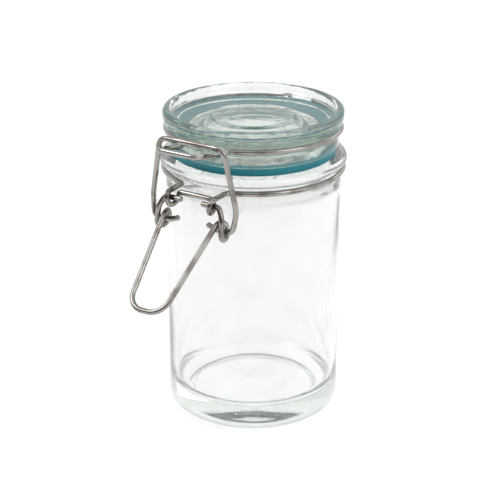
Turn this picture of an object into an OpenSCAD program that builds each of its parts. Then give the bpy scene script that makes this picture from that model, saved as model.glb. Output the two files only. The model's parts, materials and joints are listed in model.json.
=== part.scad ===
// Clip-top glass jar: a glass body and a pressed glass lid with a silicone seal, held by four bent wires.
// Origin at the middle of the ring that the jar stands on.
// +Z is up, the latch is towards -Y, the hinge towards +Y.

/* [Glass body] */
// Outer diameter of the straight wall
body_d = 52; // [50:0.5:54]
// Thickness of the wall
wall_t = 2.4; // [2:0.1:2.8]
// Height of the rim that the seal lies on
flange_z = 81; // [74:0.1:86]
// Radius of the rounded heel
heel_r = 4.8; // [4:0.1:6]
// Thickness of the floor above the standing plane
floor_t = 7.6; // [7:0.1:8.2]
// Height of the dome under the floor
punt_h = 1.8; // [1:0.1:2.4]
// Inner diameter of the mouth
mouth_d = 40.8; // [40:0.1:41.6]

/* [Lid and seal] */
// Height of the lid's top above the jar's rim
lid_h = 13.6; // [13:0.1:14]
// Radius of the rolled rim
rim_r = 1.3; // [1.2:0.05:1.4]
// Thickness of the seal between lid and jar
seal_t = 2.3; // [2:0.1:2.5]
// Diameter of the raised disc on the lid
disc_d = 24; // [22:1:30]

/* [Wires] */
// Diameter of the wire
wire_d = 1.6; // [1.5:0.05:1.65]
// Radius of the eyes on the neck wire, to the middle of the wire
eye_r = 2; // [1.95:0.05:2.1]
// Radius of the loops on the lever, to the middle of the wire
loop_r = 2.4; // [2.35:0.05:2.5]
// How far the lever's pivot is in front of the glass wall
pivot_out = 6.2; // [6.1:0.1:6.6]
// Distance between the lever's pivot and the bail's pivot
crank = 7; // [6.8:0.1:7.6]
// Angle of the closed lever from straight down
lever_angle = 49; // [44:1:54]
// Length of the lever's straight legs
lever_l = 30.5; // [26:0.1:34]

/* [Hidden] */
$fn = 96;

wire_r = wire_d / 2;
wire_sides = 32;
bend_thin = 0.02;
bend_overlap = 0.12;
// A coil steps sideways a third of this on each of its first three corners
coil_pitch = wire_d + 0.08;
step = coil_pitch / 3;
// Bends of the eyes are this much smaller than half the eye, so that a short straight is left between them
bend_ease = 0.05;

// Glass body
body_r = body_d / 2;
inner_r = body_r - wall_t;
mouth_r = mouth_d / 2;
neck_r = body_r - 0.25;
shoulder_z = flange_z - 7.5;
neck_z = shoulder_z + 1.5;
flange_t = 2.8;
flange_round = flange_t / 2;
flange_mid_r = body_r + 0.3;
inner_shoulder_z = flange_z - 10.2;
inner_neck_z = flange_z - 4.6;
floor_round = 4;
floor_r = inner_r - floor_round;
foot_r = body_r - heel_r;
foot_w = 1.6;
punt_r = foot_r - foot_w;

// Seal
seal_gap = 0.05;
seal_r = body_r - 1.6;
seal_edge = 0.4;

// Lid, from its seat on the seal up
spigot_r = mouth_r - 0.8;
spigot_z = flange_z - 1.1;
seat_z = flange_z + seal_t + 2 * seal_gap;
seat_r = body_r - 0.85;
lid_groove_z = seat_z + 5.3;
lid_groove_r = wire_r + 0.05;
lid_ring_r = body_r - 0.95 + wire_r;
rim_mid_r = body_r - 0.6;
rim_z = flange_z + lid_h - rim_r;
collar_r = rim_mid_r + 0.8;
collar_z = lid_groove_z + wire_r + 0.1;
dish_z = seat_z + 7.9;
dish_r = body_r - 4.5;
disc_r = disc_d / 2;
disc_foot_r = disc_r + 0.8;
disc_z = seat_z + 8.6;
disc_dip = 0.3;
under_z = seat_z + 1.3;
under_r = 16;
dome_r = under_r - 1.5;
dome_z = seat_z + 2.1;

// Neck wire: a ring with two eyes in front and a hinge bar behind
pivot_y = body_r + pivot_out;
ring_z = flange_z - 4.3;
pivot_z = ring_z - eye_r;
ring_r = neck_r + wire_r + 0.1;
eye_out_x = 7.45;
eye_in_x = eye_out_x - coil_pitch;
eye_bend = eye_r - bend_ease;
front_a = 24;
rear_a = 30;
bar_x = 9.6;
bar_y = body_r + 5;
bar_bend = 1.9;
front_seg_z = pivot_z + 1.2;
front_seg_bend = 0.9;

// Lid wire: a tongue in front, a ring in the lid's groove and two eyes round the hinge bar
tongue_x = 6.7;
tongue_y = body_r + 13.3;
tongue_z = lid_groove_z + 2.1;
tongue_bend = 1.8;
tongue_rise_y = body_r + 3.6;
tongue_rise_bend = 4;
tongue_a = 22;
hinge_x = 5.2;
hinge_a = 18;
hinge_eye_r = 1.95;
hinge_bend = hinge_eye_r - bend_ease;
hinge_drop_bend = 1.5;

// Lever: a handle, two loops that hold the bail, and two arms that end as pins in the neck wire's eyes
loop_x = 11;
loop_step = 0.7;
leg_x = loop_x - 3 * loop_step;
loop_bend = loop_r - bend_ease;
loop_exit_bend = loop_r - 0.3;
handle_x = 5.6;
handle_bend = 5.2;
arm_x = 9.25;
arm_bend = 1.4;
arm_flare_x = 10.7;
arm_flare_y = pivot_y + 1.1;
arm_flare_z = pivot_z - 3;
pin_end_x = 3.4;

// Bail: a frame over the lid's tongue, with its two ends bent in through the lever's loops
over_centre = 0.4;
bail_y = pivot_y - over_centre;
bail_z = pivot_z - sqrt(crank * crank - over_centre * over_centre);
bail_foot_x = 13.3;
bail_foot_bend = 2;
bail_knee_x = 14.2;
bail_knee_y = bail_y - 0.8;
bail_knee_z = bail_z + 6.2;
bail_knee_bend = 10;
bail_top_x = 10.6;
bail_top_z = lid_groove_z + 3.1;
bail_top_bend = 2.6;
bail_pin_x = 7.9;
bail_pin_bend = 1.5;
bail_end_x = 4.9;
bail_end_rise = 1.1;

// Bends where a straight leaves a ring
ring_bend = 2;
lid_ring_bend = 1.6;

steel = "silver";
glass = [0.85, 0.93, 0.91, 0.4];
teal = [0, 0.42, 0.47];

function unit(v) = v / norm(v);
function xyz(p) = [p[0], p[1], p[2]];
function turn(u, v) = acos(max(-1, min(1, u * v)));
function before(p, i) = xyz(p[(i + len(p) - 1) % len(p)]);
function after(p, i) = xyz(p[(i + 1) % len(p)]);
function is_end(p, i, closed) = !closed && (i == 0 || i == len(p) - 1);
// Distance from a corner to where its bend starts
function cut(p, i, closed) = is_end(p, i, closed) ? 0
    : p[i][3] * tan(turn(unit(xyz(p[i]) - before(p, i)), unit(after(p, i) - xyz(p[i]))) / 2);
// The one corner whose bend is an arc of radius r about the origin, from angle a0 to a1 counted from -Y
function arc_corner(r, z, a0, a1) =
    let (h = (a1 - a0) / 2, q = r / cos(h)) [q * sin(a0 + h), -q * cos(a0 + h), z, r];
// How far from the middle a straight at x leaves a ring, where the ring's arc ends at angle a
function leave_y(r, a, x) = r * cos(a) + (r * sin(a) - x) * tan(a);
// A right half's corners with their mirror images in front of them
function both_halves(p) =
    concat([for (i = [len(p) - 1 : -1 : 0]) [-p[i][0], p[i][1], p[i][2], p[i][3]]], p);

// A round wire along corners [x, y, z, bend radius], straight between its bends
module wire(p, closed = false) {
    n = len(p);
    for (i = [0 : closed ? n - 1 : n - 2]) {
        j = (i + 1) % n;
        u = unit(xyz(p[j]) - xyz(p[i]));
        l = norm(xyz(p[j]) - xyz(p[i])) - cut(p, i, closed) - cut(p, j, closed);
        straight(xyz(p[i]) + u * cut(p, i, closed), u, l);
    }
    for (i = [0 : n - 1])
        if (!is_end(p, i, closed))
            bend(before(p, i), xyz(p[i]), after(p, i), p[i][3], cut(p, i, closed));
}

module straight(from, u, l) {
    side = unit(cross(u, abs(u[2]) < 0.9 ? [0, 0, 1] : [1, 0, 0]));
    up = cross(u, side);
    multmatrix([[side[0], up[0], u[0], from[0]], [side[1], up[1], u[1], from[1]],
                [side[2], up[2], u[2], from[2]], [0, 0, 0, 1]])
        cylinder(r = wire_r, h = l, $fn = wire_sides);
}

// The bend at corner b. Bent wire thins a little, and each bend runs on inside the straights it joins.
module bend(a, b, c, r, t) {
    u = unit(b - a);
    v = unit(c - b);
    inward = unit(v - u * (u * v));
    n = cross(u, inward);
    o = b - u * t + inward * r;
    run_on = bend_overlap / r * 180 / PI;
    multmatrix([[-inward[0], u[0], n[0], o[0]], [-inward[1], u[1], n[1], o[1]],
                [-inward[2], u[2], n[2], o[2]], [0, 0, 0, 1]])
        rotate([0, 0, -run_on]) rotate_extrude(angle = turn(u, v) + 2 * run_on)
            translate([r, 0]) circle(wire_r - bend_thin, $fn = wire_sides);
}

module jar_body() {
    color(glass) rotate_extrude() difference() {
        jar_outside();
        jar_inside();
        polygon([[0, punt_h], [punt_r - 2, punt_h / 2], [punt_r, 0], [punt_r, -1], [0, -1]]);
    }
}

module jar_outside() {
    translate([foot_r, heel_r]) circle(heel_r);
    polygon([[0, 0], [foot_r, 0], [foot_r, heel_r], [body_r, heel_r], [body_r, shoulder_z],
             [neck_r, neck_z], [neck_r, flange_z], [0, flange_z]]);
    translate([neck_r - 1, flange_z - flange_t]) square([flange_mid_r - neck_r + 1, flange_t]);
    translate([flange_mid_r, flange_z - flange_round]) circle(flange_round);
}

module jar_inside() {
    translate([floor_r, floor_t + floor_round]) circle(floor_round);
    polygon([[0, floor_t], [floor_r, floor_t], [floor_r, floor_t + floor_round],
             [inner_r, floor_t + floor_round], [inner_r, inner_shoulder_z], [mouth_r, inner_neck_z],
             [mouth_r, flange_z + 1], [0, flange_z + 1]]);
}

module lid_glass() {
    color(glass) rotate_extrude() difference() {
        union() {
            polygon([[0, dome_z], [dome_r, under_z], [under_r, spigot_z], [spigot_r, spigot_z],
                     [spigot_r, seat_z], [seat_r, seat_z], [seat_r, collar_z], [collar_r, collar_z],
                     [collar_r, rim_z], [rim_mid_r - 1, rim_z], [dish_r, dish_z], [disc_foot_r, dish_z],
                     [disc_r, disc_z], [0, disc_z - disc_dip]]);
            translate([rim_mid_r, rim_z]) circle(rim_r);
        }
        translate([lid_ring_r, lid_groove_z]) circle(lid_groove_r);
        translate([lid_ring_r, lid_groove_z - lid_groove_r]) square([wire_d, 2 * lid_groove_r]);
    }
}

module gasket() {
    color(teal) translate([0, 0, flange_z + seal_gap]) rotate_extrude() {
        translate([spigot_r + 0.2, 0]) square([seal_r - seal_edge - spigot_r - 0.2, seal_t]);
        translate([seal_r - seal_edge, seal_edge]) circle(seal_edge, $fn = 24);
        translate([seal_r - seal_edge, seal_t - seal_edge]) circle(seal_edge, $fn = 24);
        translate([seal_r - seal_edge - 0.1, seal_edge]) square([seal_edge + 0.1, seal_t - 2 * seal_edge]);
    }
}

module neck_wire() {
    color(steel) wire(closed = true, p = both_halves([
        [eye_in_x, -pivot_y + eye_r, front_seg_z, front_seg_bend],
        [eye_in_x + step, -pivot_y + eye_r, pivot_z - eye_r, eye_bend],
        [eye_in_x + 2 * step, -pivot_y - eye_r, pivot_z - eye_r, eye_bend],
        [eye_out_x, -pivot_y - eye_r, ring_z, eye_bend],
        [eye_out_x, -leave_y(ring_r, front_a, eye_out_x), ring_z, ring_bend],
        arc_corner(ring_r, ring_z, front_a, 180 - rear_a),
        [bar_x, leave_y(ring_r, rear_a, bar_x), ring_z, ring_bend],
        [bar_x, bar_y, ring_z, bar_bend]]));
}

module lid_wire() {
    color(steel) wire(both_halves([
        [tongue_x, -tongue_y, tongue_z, tongue_bend],
        [tongue_x, -tongue_rise_y, lid_groove_z, tongue_rise_bend],
        [tongue_x, -leave_y(lid_ring_r, tongue_a, tongue_x), lid_groove_z, ring_bend],
        arc_corner(lid_ring_r, lid_groove_z, tongue_a, 180 - hinge_a),
        [hinge_x, leave_y(lid_ring_r, hinge_a, hinge_x), lid_groove_z, lid_ring_bend],
        [hinge_x, bar_y - hinge_eye_r, lid_groove_z, hinge_drop_bend],
        [hinge_x, bar_y - hinge_eye_r, ring_z - hinge_eye_r, hinge_bend],
        [hinge_x + step, bar_y + hinge_eye_r, ring_z - hinge_eye_r, hinge_bend],
        [hinge_x + 2 * step, bar_y + hinge_eye_r, ring_z + hinge_eye_r, hinge_bend],
        [hinge_x + coil_pitch, bar_y - 0.4, ring_z + hinge_eye_r, 0]]));
}

module lever_wire() {
    // The leg runs along the loop's tangent at lever_angle
    top = loop_r * tan(lever_angle / 2);
    tip_y = bail_y + top + lever_l * sin(lever_angle);
    tip_z = bail_z + loop_r - lever_l * cos(lever_angle);
    color(steel) wire(both_halves([
        [handle_x, -tip_y, tip_z, handle_bend],
        [leg_x, -bail_y - top, bail_z + loop_r, loop_bend],
        [loop_x - 2 * loop_step, -bail_y + loop_r, bail_z + loop_r, loop_bend],
        [loop_x - loop_step, -bail_y + loop_r, bail_z - loop_r, loop_bend],
        [loop_x, -bail_y - loop_r - 0.1, bail_z - loop_r, loop_exit_bend],
        [arm_flare_x, -arm_flare_y, arm_flare_z, 3],
        [arm_x, -pivot_y, pivot_z, arm_bend],
        [pin_end_x, -pivot_y, pivot_z, 0]]));
}

module bail_wire() {
    color(steel) wire(both_halves([
        [bail_top_x, -pivot_y, bail_top_z, bail_top_bend],
        [bail_knee_x, -bail_knee_y, bail_knee_z, bail_knee_bend],
        [bail_foot_x, -bail_y, bail_z, bail_foot_bend],
        [bail_pin_x, -bail_y, bail_z, bail_pin_bend],
        [bail_end_x, -bail_y, bail_z + bail_end_rise, 0]]));
}

jar_body();
neck_wire();
lid_glass();
gasket();
lid_wire();
lever_wire();
bail_wire();
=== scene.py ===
# %% [markdown]
# # A clip-top glass jar
# This small spice jar is a thick glass body, a pressed glass lid with a silicone seal under it, and four
# steel wires. One wire is a hinge and a neck ring, one holds the lid, one is a lever and one is the bail
# that the lever pulls down over the lid. The solid model is already made, so this lesson only dresses it:
# the frame is loaded first and never moved, and each piece is then rebuilt finely where the solid one lies.

# %% Load the frame
import json
import math

import bpy
from mathutils import Matrix, Vector


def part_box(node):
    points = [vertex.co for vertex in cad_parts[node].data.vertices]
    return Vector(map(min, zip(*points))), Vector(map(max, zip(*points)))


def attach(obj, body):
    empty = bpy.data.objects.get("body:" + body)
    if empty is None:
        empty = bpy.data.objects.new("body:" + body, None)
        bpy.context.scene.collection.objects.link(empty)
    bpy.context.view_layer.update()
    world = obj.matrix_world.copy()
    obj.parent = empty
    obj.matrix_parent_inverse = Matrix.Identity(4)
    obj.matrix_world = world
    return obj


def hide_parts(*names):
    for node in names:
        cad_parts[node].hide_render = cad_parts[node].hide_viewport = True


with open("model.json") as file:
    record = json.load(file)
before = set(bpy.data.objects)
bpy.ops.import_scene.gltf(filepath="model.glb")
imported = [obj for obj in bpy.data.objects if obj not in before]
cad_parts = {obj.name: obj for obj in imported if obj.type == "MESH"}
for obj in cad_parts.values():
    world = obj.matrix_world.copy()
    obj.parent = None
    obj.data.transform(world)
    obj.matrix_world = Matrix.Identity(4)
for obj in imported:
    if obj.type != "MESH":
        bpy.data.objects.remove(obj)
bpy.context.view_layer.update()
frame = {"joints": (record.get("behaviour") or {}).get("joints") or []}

# %% [markdown]
# The frame is in metres, but a jar this size is easier to think about in millimetres. The few driving
# sizes are read from the frame: how high the mouth is, how wide the glass is and where each joint turns.

# %% Driving sizes
MM = 0.001


def joint_place(name):
    """Where a joint turns, in millimetres"""
    return next(Vector(joint["pos_m"]) / MM for joint in frame["joints"] if joint["name"] == name)


hinge = joint_place("lid_hinge")
lever_pivot = joint_place("lever_pivot")
bail_pivot = joint_place("bail_pivot")
flange_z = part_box("jar_body")[1].z / MM
flange_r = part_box("jar_body")[1].x / MM
top_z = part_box("lid_glass")[1].z / MM
flange_overhang = 1.7
wall_r = flange_r - flange_overhang
print("mouth at", round(flange_z, 2), "wall radius", round(wall_r, 2), "lever pivot", tuple(lever_pivot))

# %% [markdown]
# The camera looks down on the jar a little, from the front right, through a long lens. A long lens keeps
# the sides of the jar nearly parallel, as they look on a small thing half a metre away.

# %% Camera
camera_turn = math.radians(32.4)
camera_away = 430
camera_z = 223
look_at = Vector((-0.85, -0.54, 49.1))

camera_data = bpy.data.cameras.new("camera")
camera_data.lens = 110.1
camera = bpy.data.objects.new("camera", camera_data)
bpy.context.scene.collection.objects.link(camera)
camera.location = MM * Vector((
    camera_away * math.sin(camera_turn), -camera_away * math.cos(camera_turn), camera_z))
camera.rotation_euler = (MM * look_at - camera.location).to_track_quat("-Z", "Y").to_euler()
bpy.context.scene.camera = camera
print("camera", tuple(round(side, 3) for side in camera.location))

# %% [markdown]
# Material nodes are easier to read as formulas. `Signal` wraps one socket, and adding or multiplying
# signals adds Math nodes. `Shading.add` makes every other node from its type, settings and inputs.

# %% Shader helpers


class Signal:
    """A value in a material. Arithmetic on it adds Math nodes."""

    def __init__(self, shading, socket):
        self.shading = shading
        self.socket = socket

    def maths(self, operation, first, second):
        return self.shading.add("ShaderNodeMath", {"operation": operation}, {0: first, 1: second})

    def __add__(self, other):
        return self.maths("ADD", self, other)

    def __mul__(self, other):
        return self.maths("MULTIPLY", self, other)

    def __rsub__(self, other):
        return self.maths("SUBTRACT", other, self)

    __radd__ = __add__
    __rmul__ = __mul__


class Shading:
    """A node tree that is built from nothing, one node at a time."""

    def __init__(self, tree):
        self.tree = tree
        tree.nodes.clear()

    def add(self, kind, settings=None, inputs=None, output=0):
        node = self.tree.nodes.new(kind)
        for name, value in (settings or {}).items():
            setattr(node, name, value)
        for name, value in (inputs or {}).items():
            if isinstance(value, Signal):
                self.tree.links.new(value.socket, node.inputs[name])
            else:
                node.inputs[name].default_value = value
        return Signal(self, node.outputs[output]) if node.outputs else node

    def band(self, value, low, high):
        """0 below low, 1 above high and smooth between them"""
        return self.add("ShaderNodeMapRange", {"interpolation_type": "SMOOTHSTEP"},
                        {"Value": value, "From Min": low, "From Max": high})

    def blend(self, share, first, second):
        """A colour between first and second"""
        return self.add("ShaderNodeMix", {"data_type": "RGBA"}, {0: share, 6: first, 7: second}, output=2)

    def noise(self, place, size_mm, detail=2.0, stretch=(1, 1, 1)):
        """Noise whose lumps are about size_mm across"""
        stretched = self.add("ShaderNodeMapping", None, {"Vector": place, "Scale": stretch})
        return self.add("ShaderNodeTexNoise", None,
                        {"Vector": stretched, "Scale": 1 / (size_mm * MM), "Detail": detail})


def new_material(name):
    material = bpy.data.materials.new(name)
    material.use_nodes = True
    return material, Shading(material.node_tree)


def show(shading, surface, volume=None):
    inputs = {"Surface": surface}
    if volume:
        inputs["Volume"] = volume
    shading.add("ShaderNodeOutputMaterial", None, inputs)


# %% [markdown]
# Soft light comes from a pale room. The sweep under the jar and behind it is white, the ceiling is bright,
# and the dim side of the room stands behind the camera: polished wire and thick glass need something dark
# to mirror, or they vanish. The room is bright enough to serve as a backdrop where the floor ends.

# %% Floor, room and lamps
floor_width = 6
floor_z = -0.0002
floor_glow = 0.12
room_strength = 0.9
bpy.ops.mesh.primitive_plane_add(size=floor_width, location=(0, 0, floor_z))
floor = bpy.context.object
floor.name = "floor"
floor_material, shading = new_material("white_sweep")
grain = shading.noise(shading.add("ShaderNodeTexCoord", output="Object"), 9.0, 4.0)
paper = shading.blend(grain, (0.93, 0.93, 0.93, 1), (0.96, 0.96, 0.96, 1))
show(shading, shading.add("ShaderNodeBsdfPrincipled", None, {
    "Base Color": paper, "Roughness": 0.9, "Specular IOR Level": 0.1,
    "Emission Color": (1, 1, 1, 1), "Emission Strength": floor_glow}))
floor.data.materials.append(floor_material)

world = bpy.data.worlds.new("room")
bpy.context.scene.world = world
world.use_nodes = True
shading = Shading(world.node_tree)
direction = shading.add("ShaderNodeTexCoord", output="Generated")
axes = shading.add("ShaderNodeSeparateXYZ", None, {"Vector": direction})
toward = Signal(shading, axes.socket.node.outputs["Y"])
upward = Signal(shading, axes.socket.node.outputs["Z"])
front = 1 - shading.band(toward, -0.8, -0.1)
low = 1 - shading.band(upward, 0.35, 0.75)
room = shading.blend(front * low, (1.0, 1.0, 1.0, 1), (0.13, 0.11, 0.095, 1))
shading.add("ShaderNodeOutputWorld", None, {
    "Surface": shading.add("ShaderNodeBackground", None, {"Color": room, "Strength": room_strength})})


def softbox(name, place, width, watts):
    """A square area lamp at place, in mm, that faces the middle of the jar"""
    data = bpy.data.lights.new(name, "AREA")
    data.size = width * MM
    data.energy = watts
    lamp = bpy.data.objects.new(name, data)
    bpy.context.scene.collection.objects.link(lamp)
    lamp.location = MM * Vector(place)
    lamp.rotation_euler = (MM * look_at - lamp.location).to_track_quat("-Z", "Y").to_euler()


softbox("key", (-420, -380, 620), 320, 1.3)
softbox("fill", (620, -60, 520), 380, 0.8)
softbox("back", (80, 640, 560), 480, 0.8)
bpy.context.scene.view_settings.view_transform = "Standard"

# %% [markdown]
# Clear glass is a refracting surface over a faint absorbing inside. The tint must come from the inside:
# a thin wall then stays white and a thick edge turns grey-green, as soda glass does. Blown and pressed
# surfaces are never quite flat, so a shallow bump bends what is seen through them. `clarity` is the share
# of light that goes through. The rest scatters as haze, which keeps the thick base grey instead of black.

# %% Glass


def glass(name, swallowed, density, clarity, ripple_mm, ripple_depth_mm, stretch, smear):
    """Glass that swallows `swallowed` colour, with ripples and a trace of handling on its surface"""
    material, shading = new_material(name)
    place = shading.add("ShaderNodeTexCoord", output="Object")
    swell = shading.noise(place, ripple_mm, 1.5, stretch)
    fine = shading.noise(place, ripple_mm / 5, 2.0, stretch)
    bump = shading.add("ShaderNodeBump", None, {
        "Height": swell + 0.2 * fine, "Distance": ripple_depth_mm * MM, "Strength": 1.0})
    touched = shading.band(shading.noise(place, 11.0, 5.0), 0.5, 0.75)
    colour = shading.blend(touched, (0.94, 0.945, 0.94, 1), (0.90, 0.905, 0.90, 1))
    surface = shading.add("ShaderNodeBsdfPrincipled", None, {
        "Base Color": colour, "Roughness": 0.004 + smear * touched, "IOR": 1.5,
        "Transmission Weight": clarity, "Normal": bump})
    inside = shading.add("ShaderNodeVolumeAbsorption", None, {"Color": swallowed, "Density": density})
    show(shading, surface, inside)
    return material


body_glass = glass("clear_glass", (0.84, 0.89, 0.85, 1), 24.0, 0.93, 14.0, 0.05, (1, 1, 0.5), 0.03)
lid_glass = glass("pressed_glass", (0.54, 0.68, 0.58, 1), 42.0, 0.97, 2.4, 0.08, (1, 1, 3.5), 0.05)

# %% [markdown]
# The seal is matt silicone with a little light going into it. The wire is bright drawn steel: the die
# leaves fine lines along it, and handling leaves duller, browner patches. The lines follow the wire
# because they use the coordinates that the sweep below writes, which run along it and round it.

# %% Silicone and steel


def silicone():
    material, shading = new_material("teal_silicone")
    place = shading.add("ShaderNodeTexCoord", output="Object")
    cloud = shading.noise(place, 5.0, 3.0)
    dust = shading.band(shading.noise(place, 0.5, 1.0), 0.66, 0.74)
    tone = shading.blend(cloud, (0.0, 0.17, 0.22, 1), (0.0, 0.24, 0.29, 1))
    colour = shading.blend(dust * 0.35, tone, (0.3, 0.5, 0.52, 1))
    bump = shading.add("ShaderNodeBump", None, {
        "Height": shading.noise(place, 0.35, 3.0), "Distance": 0.02 * MM, "Strength": 0.6})
    show(shading, shading.add("ShaderNodeBsdfPrincipled", None, {
        "Base Color": colour, "Roughness": 0.38 + 0.15 * cloud, "Normal": bump,
        "Subsurface Weight": 0.15, "Subsurface Radius": (0.2, 0.8, 1.0), "Subsurface Scale": 0.5 * MM}))
    return material


def drawn_steel():
    material, shading = new_material("drawn_steel")
    along = shading.add("ShaderNodeTexCoord", output="UV")
    place = shading.add("ShaderNodeTexCoord", output="Object")
    lines = shading.noise(along, 0.25, 2.0, (0.03, 1, 1))
    patches = shading.band(shading.noise(place, 6.0, 3.0), 0.45, 0.7)
    specks = shading.band(shading.noise(place, 0.6, 2.0), 0.62, 0.72)
    tone = shading.blend(patches, (0.36, 0.345, 0.325, 1), (0.20, 0.175, 0.155, 1))
    colour = shading.blend(specks * 0.3, tone, (0.12, 0.09, 0.07, 1))
    bump = shading.add("ShaderNodeBump", None, {
        "Height": lines + 0.4 * specks, "Distance": 0.0015 * MM, "Strength": 0.5})
    show(shading, shading.add("ShaderNodeBsdfPrincipled", None, {
        "Base Color": colour, "Metallic": 1.0, "Normal": bump,
        "Roughness": 0.08 + 0.08 * lines + 0.12 * patches}))
    return material


seal_silicone = silicone()
steel = drawn_steel()
print("materials", [m.name for m in bpy.data.materials])

# %% [markdown]
# A jar is turned, so its glass is an outline spun about the axis. An outline is a short list of corners,
# each with the radius that rounds it off, as on a drawing. `rounded` puts in the arcs.

# %% Outlines and spinning


def rounded(corners, degrees_per_point=9):
    """The outline through (r, z, fillet) corners, with each fillet as an arc. Its ends stay sharp."""
    outline = [Vector(corners[0][:2])]
    for before, corner, after in zip(corners, corners[1:], corners[2:]):
        here = Vector(corner[:2])
        back = (Vector(before[:2]) - here).normalized()
        ahead = (Vector(after[:2]) - here).normalized()
        half = back.angle(ahead) / 2
        run = corner[2] / math.tan(half)
        centre = here + (back + ahead).normalized() * corner[2] / math.sin(half)
        swing = math.pi - 2 * half
        count = max(2, round(math.degrees(swing) / degrees_per_point))
        arm = here + back * run - centre
        side = 1 if arm.y * back.x - arm.x * back.y > 0 else -1
        outline += [centre + Matrix.Rotation(side * swing * i / count, 2) @ arm for i in range(count + 1)]
    return outline + [Vector(corners[-1][:2])]


def refine(outline, longest):
    """The same outline with its long straights divided"""
    points = []
    for a, b in zip(outline, outline[1:]):
        count = max(1, math.ceil((b - a).length / longest))
        points += [a.lerp(b, i / count) for i in range(count)]
    return points + [outline[-1]]


def finish_piece(name, mesh, material, body, node):
    """Links a piece, shades it smooth and ties it to the frame"""
    for face in mesh.polygons:
        face.use_smooth = True
    mesh.materials.append(material)
    piece = bpy.data.objects.new(name, mesh)
    bpy.context.scene.collection.objects.link(piece)
    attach(piece, body)
    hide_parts(node)
    print(name, len(mesh.polygons), "faces")
    return piece


def spin(name, outline, steps, waver=None, closed=False):
    """A mesh of revolution from (r, z) points in mm. Open outlines start and end on the axis.
    waver moves a point at (r, z, angle) sideways by a little, as uneven glass."""
    points, rings = [], []
    for r, z in outline:
        if r < 1e-6:
            rings.append([len(points)])
            points.append((0, 0, z * MM))
            continue
        rings.append([len(points) + i for i in range(steps)])
        for i in range(steps):
            angle = 2 * math.pi * i / steps
            radius = (r + (waver(r, z, angle) if waver else 0)) * MM
            points.append((radius * math.cos(angle), radius * math.sin(angle), z * MM))
    faces = []
    for a, b in zip(rings, rings[1:] + (rings[:1] if closed else [])):
        for i in range(steps):
            j = (i + 1) % steps
            corners = [a[i % len(a)], a[j % len(a)], b[j % len(b)], b[i % len(b)]]
            faces.append([c for k, c in enumerate(corners) if c not in corners[:k]])
    mesh = bpy.data.meshes.new(name)
    mesh.from_pydata(points, [], faces)
    mesh.validate()
    return mesh


# %% [markdown]
# The body is one outline: out along the pushed-up base, over the ring that it stands on, up the wall, out
# and over the flange, and back down the inside to a thick floor. Blown glass keeps its mould's outside but
# not an even thickness, so only the inside wavers.

# %% Glass body
mouth_r = wall_r - 5.6
inner_r = wall_r - 2.4
foot_r = wall_r - 4.8
neck_r = wall_r - 0.25
floor_t = 7.6
push_up = 1.8
flange_t = 2.8
flange_round = 1.35
groove_low = flange_z - 6
wall_top = flange_z - 7.5

body_outline = refine(rounded([
    (0, push_up, 0),
    (foot_r - 2.6, push_up / 2, 2.5),
    (foot_r - 1.0, 0, 0.4),
    (wall_r, 0, 4.75),
    (wall_r, wall_top, 3),
    (neck_r, groove_low, 1),
    (neck_r, flange_z - flange_t, 0.5),
    (flange_r, flange_z - flange_t, flange_round),
    (flange_r, flange_z, flange_round),
    (mouth_r, flange_z, 0.7),
    (mouth_r, flange_z - 4.6, 2.5),
    (inner_r, flange_z - 10.2, 3),
    (inner_r, floor_t, 4),
    (0, floor_t, 0)]), 2.5)


def uneven_wall(r, z, angle):
    """The inside of the wall wanders by about a tenth of a millimetre"""
    inside = r < inner_r + 0.3 and floor_t + 4 < z < flange_z - 8
    return (0.07 * math.sin(3 * angle + z / 17) + 0.05 * math.sin(7 * angle - z / 11)) if inside else 0


jar_body = finish_piece("glass_body", spin("glass_body", body_outline, 192, uneven_wall),
                        body_glass, "jar", "jar_body")
jar_body.visible_shadow = False

# %% [markdown]
# The lid is pressed, not blown: a plug that drops into the mouth, a flat seat on the seal, a groove for the
# lid wire, a rolled rim, a dished top and a raised disc in the middle.

# %% Glass lid
seat_z = flange_z + 2.4
groove_z = seat_z + 5.3
plug_r = mouth_r - 0.8
rim_r = wall_r + 0.7
dish_z = seat_z + 7.9
dish_r = wall_r - 4.5
disc_r = 12
disc_z = seat_z + 8.6
plug_low = flange_z - 1.1
seat_r = wall_r - 0.85
rim_round = 1.28

lid_outline = refine(rounded([
    (0, seat_z + 2.1, 0),
    (14.5, seat_z + 1.3, 1.0),
    (16, plug_low, 0.6),
    (plug_r, plug_low, 0.6),
    (plug_r, seat_z, 0.4),
    (seat_r, seat_z, 0.6),
    (seat_r, groove_z - 0.9, 0.3),
    (wall_r - 1.0, groove_z, 0.8),
    (wall_r - 0.15, groove_z + 0.9, 0.3),
    (rim_r - 0.5, groove_z + 1.0, 0.3),
    (rim_r - 0.55, groove_z + 2.6, 0.4),
    (rim_r, groove_z + 3.3, 0.5),
    (rim_r, top_z, rim_round),
    (rim_r - 2.65, top_z, rim_round),
    (rim_r - 2.7, top_z - 2.6, 1.2),
    (dish_r, dish_z, 2.0),
    (disc_r + 0.8, dish_z, 0.3),
    (disc_r, disc_z, 0.3),
    (0, disc_z - 0.3, 0)]), 1.5)


def pressed(r, z, angle):
    """The lid's sides ripple where the hot glass met the cold mould"""
    side = plug_r < r < rim_r + 1 and seat_z < z < top_z - 1.5
    return 0.05 * math.sin(29 * angle + 2 * z) * math.sin(5 * angle + z) if side else 0


lid = finish_piece("pressed_lid", spin("pressed_lid", lid_outline, 240, pressed),
                   lid_glass, "lid", "lid_glass")
lid.visible_shadow = False

# %% [markdown]
# The seal is a flat moulded ring that shows as a stripe between the two pieces of glass. Its edge is
# rounded, with the fine ridge that the mould's two halves leave half way up. It is let into the lid by
# less than a tenth of a millimetre, because no air is left where silicone is pressed on glass. An air gap
# there would turn into a mirror.

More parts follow.
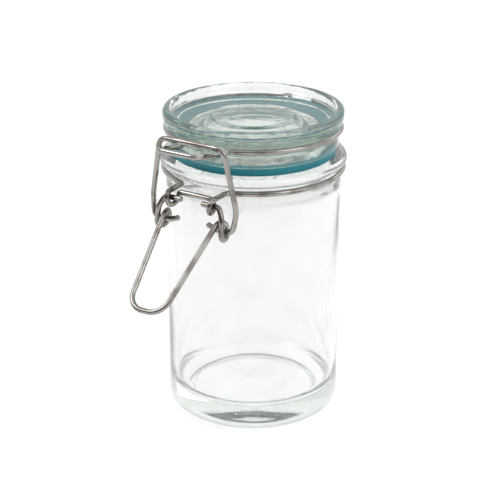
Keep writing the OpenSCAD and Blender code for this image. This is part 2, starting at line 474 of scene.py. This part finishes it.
# %% Seal
seal_low, seal_high = (corner.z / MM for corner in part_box("gasket"))
seal_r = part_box("gasket")[1].x / MM
seal_mid = (seal_low + seal_high) / 2
seal_top = seat_z + 0.08
seal_inner = plug_r - 0.06
ridge = 0.06
ridge_half = 0.16
seal_outline = rounded([
    (seal_inner, seal_mid, 0),
    (seal_inner, seal_low, 0.3),
    (seal_r - ridge, seal_low, 0.5),
    (seal_r - ridge, seal_mid - ridge_half, 0.1),
    (seal_r, seal_mid, 0.08),
    (seal_r - ridge, seal_mid + ridge_half, 0.1),
    (seal_r - ridge, seal_top, 0.4),
    (seal_inner, seal_top, 0.1),
    (seal_inner, seal_mid + 0.1, 0)])
finish_piece("seal_ring", spin("seal_ring", seal_outline, 192, closed=True),
             seal_silicone, "lid", "gasket")

# %% [markdown]
# Each wire is bent on a jig, so it is described the way a jig is set: a list of corners with a bend radius
# at each. All four are the same left and right, so only the right half is listed. The line then gets a
# round section swept along it, with cut ends.

# %% Bending and sweeping wire
wire_r = 0.8


def mirrored(corners):
    """A right half's corners with their mirror images in front of them"""
    return [(-x, y, z, bend) for x, y, z, bend in reversed(corners)] + list(corners)


def bent(corners, closed=False, degrees_per_point=6):
    """The middle line of a wire through (x, y, z, bend radius) corners, in mm"""
    count = len(corners)
    line = []
    for i, corner in enumerate(corners):
        here = Vector(corner[:3])
        if not closed and i in (0, count - 1):
            line.append(here)
            continue
        back = (Vector(corners[i - 1][:3]) - here).normalized()
        ahead = (Vector(corners[(i + 1) % count][:3]) - here).normalized()
        half = back.angle(ahead) / 2
        centre = here + (back + ahead).normalized() * corner[3] / math.sin(half)
        arm = here + back * corner[3] / math.tan(half) - centre
        swing = math.pi - 2 * half
        axis = ahead.cross(back)
        steps = max(2, round(math.degrees(swing) / degrees_per_point))
        line += [centre + Matrix.Rotation(swing * k / steps, 3, axis) @ arm for k in range(steps + 1)]
    return line


def even(line, closed, spacing):
    """The same line with points at an even spacing"""
    ends = line + line[:1] if closed else line
    lengths = [(b - a).length for a, b in zip(ends, ends[1:])]
    total = sum(lengths)
    count = round(total / spacing)
    points, reached, k = [], 0.0, 0
    for i in range(count if closed else count + 1):
        want = min(total * i / count, total - 1e-9)
        while reached + lengths[k] < want:
            reached += lengths[k]
            k += 1
        points.append(ends[k].lerp(ends[k + 1], (want - reached) / lengths[k]))
    return points


def eased(points, closed, rounds):
    """The line with its changes of bend softened, as springy wire softens them"""
    for _ in range(rounds):
        around = points[-1:] + points + points[:1]
        soft = [(a + 2 * b + c) / 4 for a, b, c in zip(around, around[1:], around[2:])]
        points = soft if closed else points[:1] + soft[1:-1] + points[-1:]
    return points


def sweep(name, corners, closed=False, spacing=0.3, sides=20):
    """A round wire along corners, with coordinates that run along it and round it"""
    line = eased(even(bent(corners, closed), closed, spacing), closed, 4)
    count = len(line)
    heads = []
    for i in range(count):
        a = line[i - 1] if closed or i else line[0]
        b = line[(i + 1) % count] if closed or i < count - 1 else line[-1]
        heads.append((b - a).normalized())
    normal = heads[0].orthogonal().normalized()
    normals = [normal]
    for a, b in zip(heads, heads[1:] + heads[:1]):
        normal = a.rotation_difference(b) @ normal
        normals.append(normal)
    slip = normals[0].angle(normals[-1]) if closed else 0
    if closed and normals[-1].cross(normals[0]).dot(heads[0]) < 0:
        slip = -slip
    rings = [(line[i], heads[i], Matrix.Rotation(slip * i / count, 3, heads[i]) @ normals[i], wire_r)
             for i in range(count)]
    if not closed:
        chamfer = 0.18
        first, last = rings[0], rings[-1]
        start = [first[:3] + (wire_r - chamfer,), (first[0] + first[1] * chamfer, *first[1:])]
        stop = [(last[0] - last[1] * chamfer, *last[1:]), last[:3] + (wire_r - chamfer,)]
        rings = start + rings[1:-1] + stop
    points = []
    for middle, head, normal, radius in rings:
        across = head.cross(normal)
        for k in range(sides):
            turn = 2 * math.pi * k / sides
            points.append((middle + radius * (math.cos(turn) * normal + math.sin(turn) * across)) * MM)
    faces, marks = [], []
    for i in range(len(rings) if closed else len(rings) - 1):
        j = (i + 1) % len(rings)
        for k in range(sides):
            m = (k + 1) % sides
            faces.append((i * sides + k, i * sides + m, j * sides + m, j * sides + k))
            marks.append([(i, k), (i, k + 1), (i + 1, k + 1), (i + 1, k)])
    if not closed:
        faces.append(tuple(reversed(range(sides))))
        faces.append(tuple(range((len(rings) - 1) * sides, len(rings) * sides)))
        marks += [[(0, k) for k in range(sides)], [(0, k) for k in range(sides)]]
    mesh = bpy.data.meshes.new(name)
    mesh.from_pydata(points, [], faces)
    uv = mesh.uv_layers.new(name="along")
    flat = [mark for face in marks for mark in face]
    for loop, (i, k) in zip(uv.data, flat):
        loop.uv = (i * spacing * MM, 2 * math.pi * wire_r * MM * k / sides)
    return mesh


def arc_corner(radius, z, start, stop):
    """The one corner whose bend is an arc about the jar's axis. Angles are counted from the front."""
    half = math.radians(stop - start) / 2
    middle = math.radians(start) + half
    reach = radius / math.cos(half)
    return reach * math.sin(middle), -reach * math.cos(middle), z, radius


def leave(radius, degrees, x):
    """How far from the middle a straight at x leaves a ring whose arc ends at this angle"""
    angle = math.radians(degrees)
    return radius * math.cos(angle) + (radius * math.sin(angle) - x) * math.tan(angle)


# %% [markdown]
# The neck wire goes once round the groove under the flange. In front it curls into two eyes that hold the
# lever, joined by a short straight, and behind it runs out into a bar that the lid's eyes turn on.

# %% Neck wire
pitch = 2 * wire_r + 0.08
step = pitch / 3
eye_r = hinge.z - lever_pivot.z
eye_end_x = 7.45
eye_x = eye_end_x - pitch
eye_front = lever_pivot.y - eye_r
eye_back = lever_pivot.y + eye_r
eye_low = lever_pivot.z - eye_r
eye_bend = eye_r - 0.05
neck_ring_r = neck_r + wire_r + 0.1
bar_x = 9.6

neck_corners = mirrored([
    (eye_x, eye_back, lever_pivot.z + 1.2, 0.9),
    (eye_x + step, eye_back, eye_low, eye_bend),
    (eye_x + 2 * step, eye_front, eye_low, eye_bend),
    (eye_end_x, eye_front, hinge.z, eye_bend),
    (eye_end_x, -leave(neck_ring_r, 24, eye_end_x), hinge.z, 2),
    arc_corner(neck_ring_r, hinge.z, 24, 150),
    (bar_x, leave(neck_ring_r, 30, bar_x), hinge.z, 2),
    (bar_x, hinge.y, hinge.z, 1.9)])
finish_piece("neck_ring", sweep("neck_ring", neck_corners, closed=True), steel, "jar", "neck_wire")

# %% [markdown]
# The lid wire lies in the lid's groove. In front it stands out as a tongue for the bail to press on, and
# behind it drops into two eyes round the hinge bar.

# %% Lid wire
lid_ring_r = wall_r - 0.95 + wire_r
tongue_x = 6.7
hinge_x = 5.2
curl = 1.95
curl_bend = curl - 0.05

lid_corners = mirrored([
    (tongue_x, -wall_r - 13.3, groove_z + 2.1, 1.8),
    (tongue_x, -wall_r - 3.6, groove_z, 4),
    (tongue_x, -leave(lid_ring_r, 22, tongue_x), groove_z, 2),
    arc_corner(lid_ring_r, groove_z, 22, 162),
    (hinge_x, leave(lid_ring_r, 18, hinge_x), groove_z, 1.6),
    (hinge_x, hinge.y - curl, groove_z, 1.5),
    (hinge_x, hinge.y - curl, hinge.z - curl, curl_bend),
    (hinge_x + step, hinge.y + curl, hinge.z - curl, curl_bend),
    (hinge_x + 2 * step, hinge.y + curl, hinge.z + curl, curl_bend),
    (hinge_x + pitch, hinge.y - 0.4, hinge.z + curl, 0)])
finish_piece("lid_ring", sweep("lid_ring", lid_corners), steel, "lid", "lid_wire")

# %% [markdown]
# The lever starts as two pins in the neck wire's eyes, flares out into arms, curls once round each end of
# the bail and runs on as the two legs of a narrow handle. Its legs leave the loops at the closed angle.

# %% Lever
loop_r = 2.4
loop_x = 11
loop_step = 0.7
lever_angle = math.radians(49)
leg_length = 30.5
loop_bend = loop_r - 0.05
leg_start = loop_r * math.tan(lever_angle / 2)
tip_y = bail_pivot.y - leg_start - leg_length * math.sin(lever_angle)
tip_z = bail_pivot.z + loop_r - leg_length * math.cos(lever_angle)

lever_corners = mirrored([
    (5.6, tip_y, tip_z, 5.2),
    (loop_x - 3 * loop_step, bail_pivot.y - leg_start, bail_pivot.z + loop_r, loop_bend),
    (loop_x - 2 * loop_step, bail_pivot.y + loop_r, bail_pivot.z + loop_r, loop_bend),
    (loop_x - loop_step, bail_pivot.y + loop_r, bail_pivot.z - loop_r, loop_bend),
    (loop_x, bail_pivot.y - loop_r - 0.1, bail_pivot.z - loop_r, loop_r - 0.3),
    (10.7, lever_pivot.y - 1.1, lever_pivot.z - 3, 3),
    (9.25, lever_pivot.y, lever_pivot.z, 1.4),
    (3.4, lever_pivot.y, lever_pivot.z, 0)])
finish_piece("lever_handle", sweep("lever_handle", lever_corners), steel, "lever", "lever_wire")

# %% [markdown]
# The bail is a frame over the tongue. Its legs bow outwards at the knee, and their feet turn in through
# the lever's loops and end in short pins that slope upwards.

# %% Bail
bail_corners = mirrored([
    (10.6, lever_pivot.y, groove_z + 3.1, 2.6),
    (14.2, bail_pivot.y + 0.8, bail_pivot.z + 6.2, 10),
    (13.3, bail_pivot.y, bail_pivot.z, 2),
    (7.9, bail_pivot.y, bail_pivot.z, 1.5),
    (4.9, bail_pivot.y, bail_pivot.z + 1.1, 0)])
finish_piece("bail_frame", sweep("bail_frame", bail_corners), steel, "bail", "bail_wire")
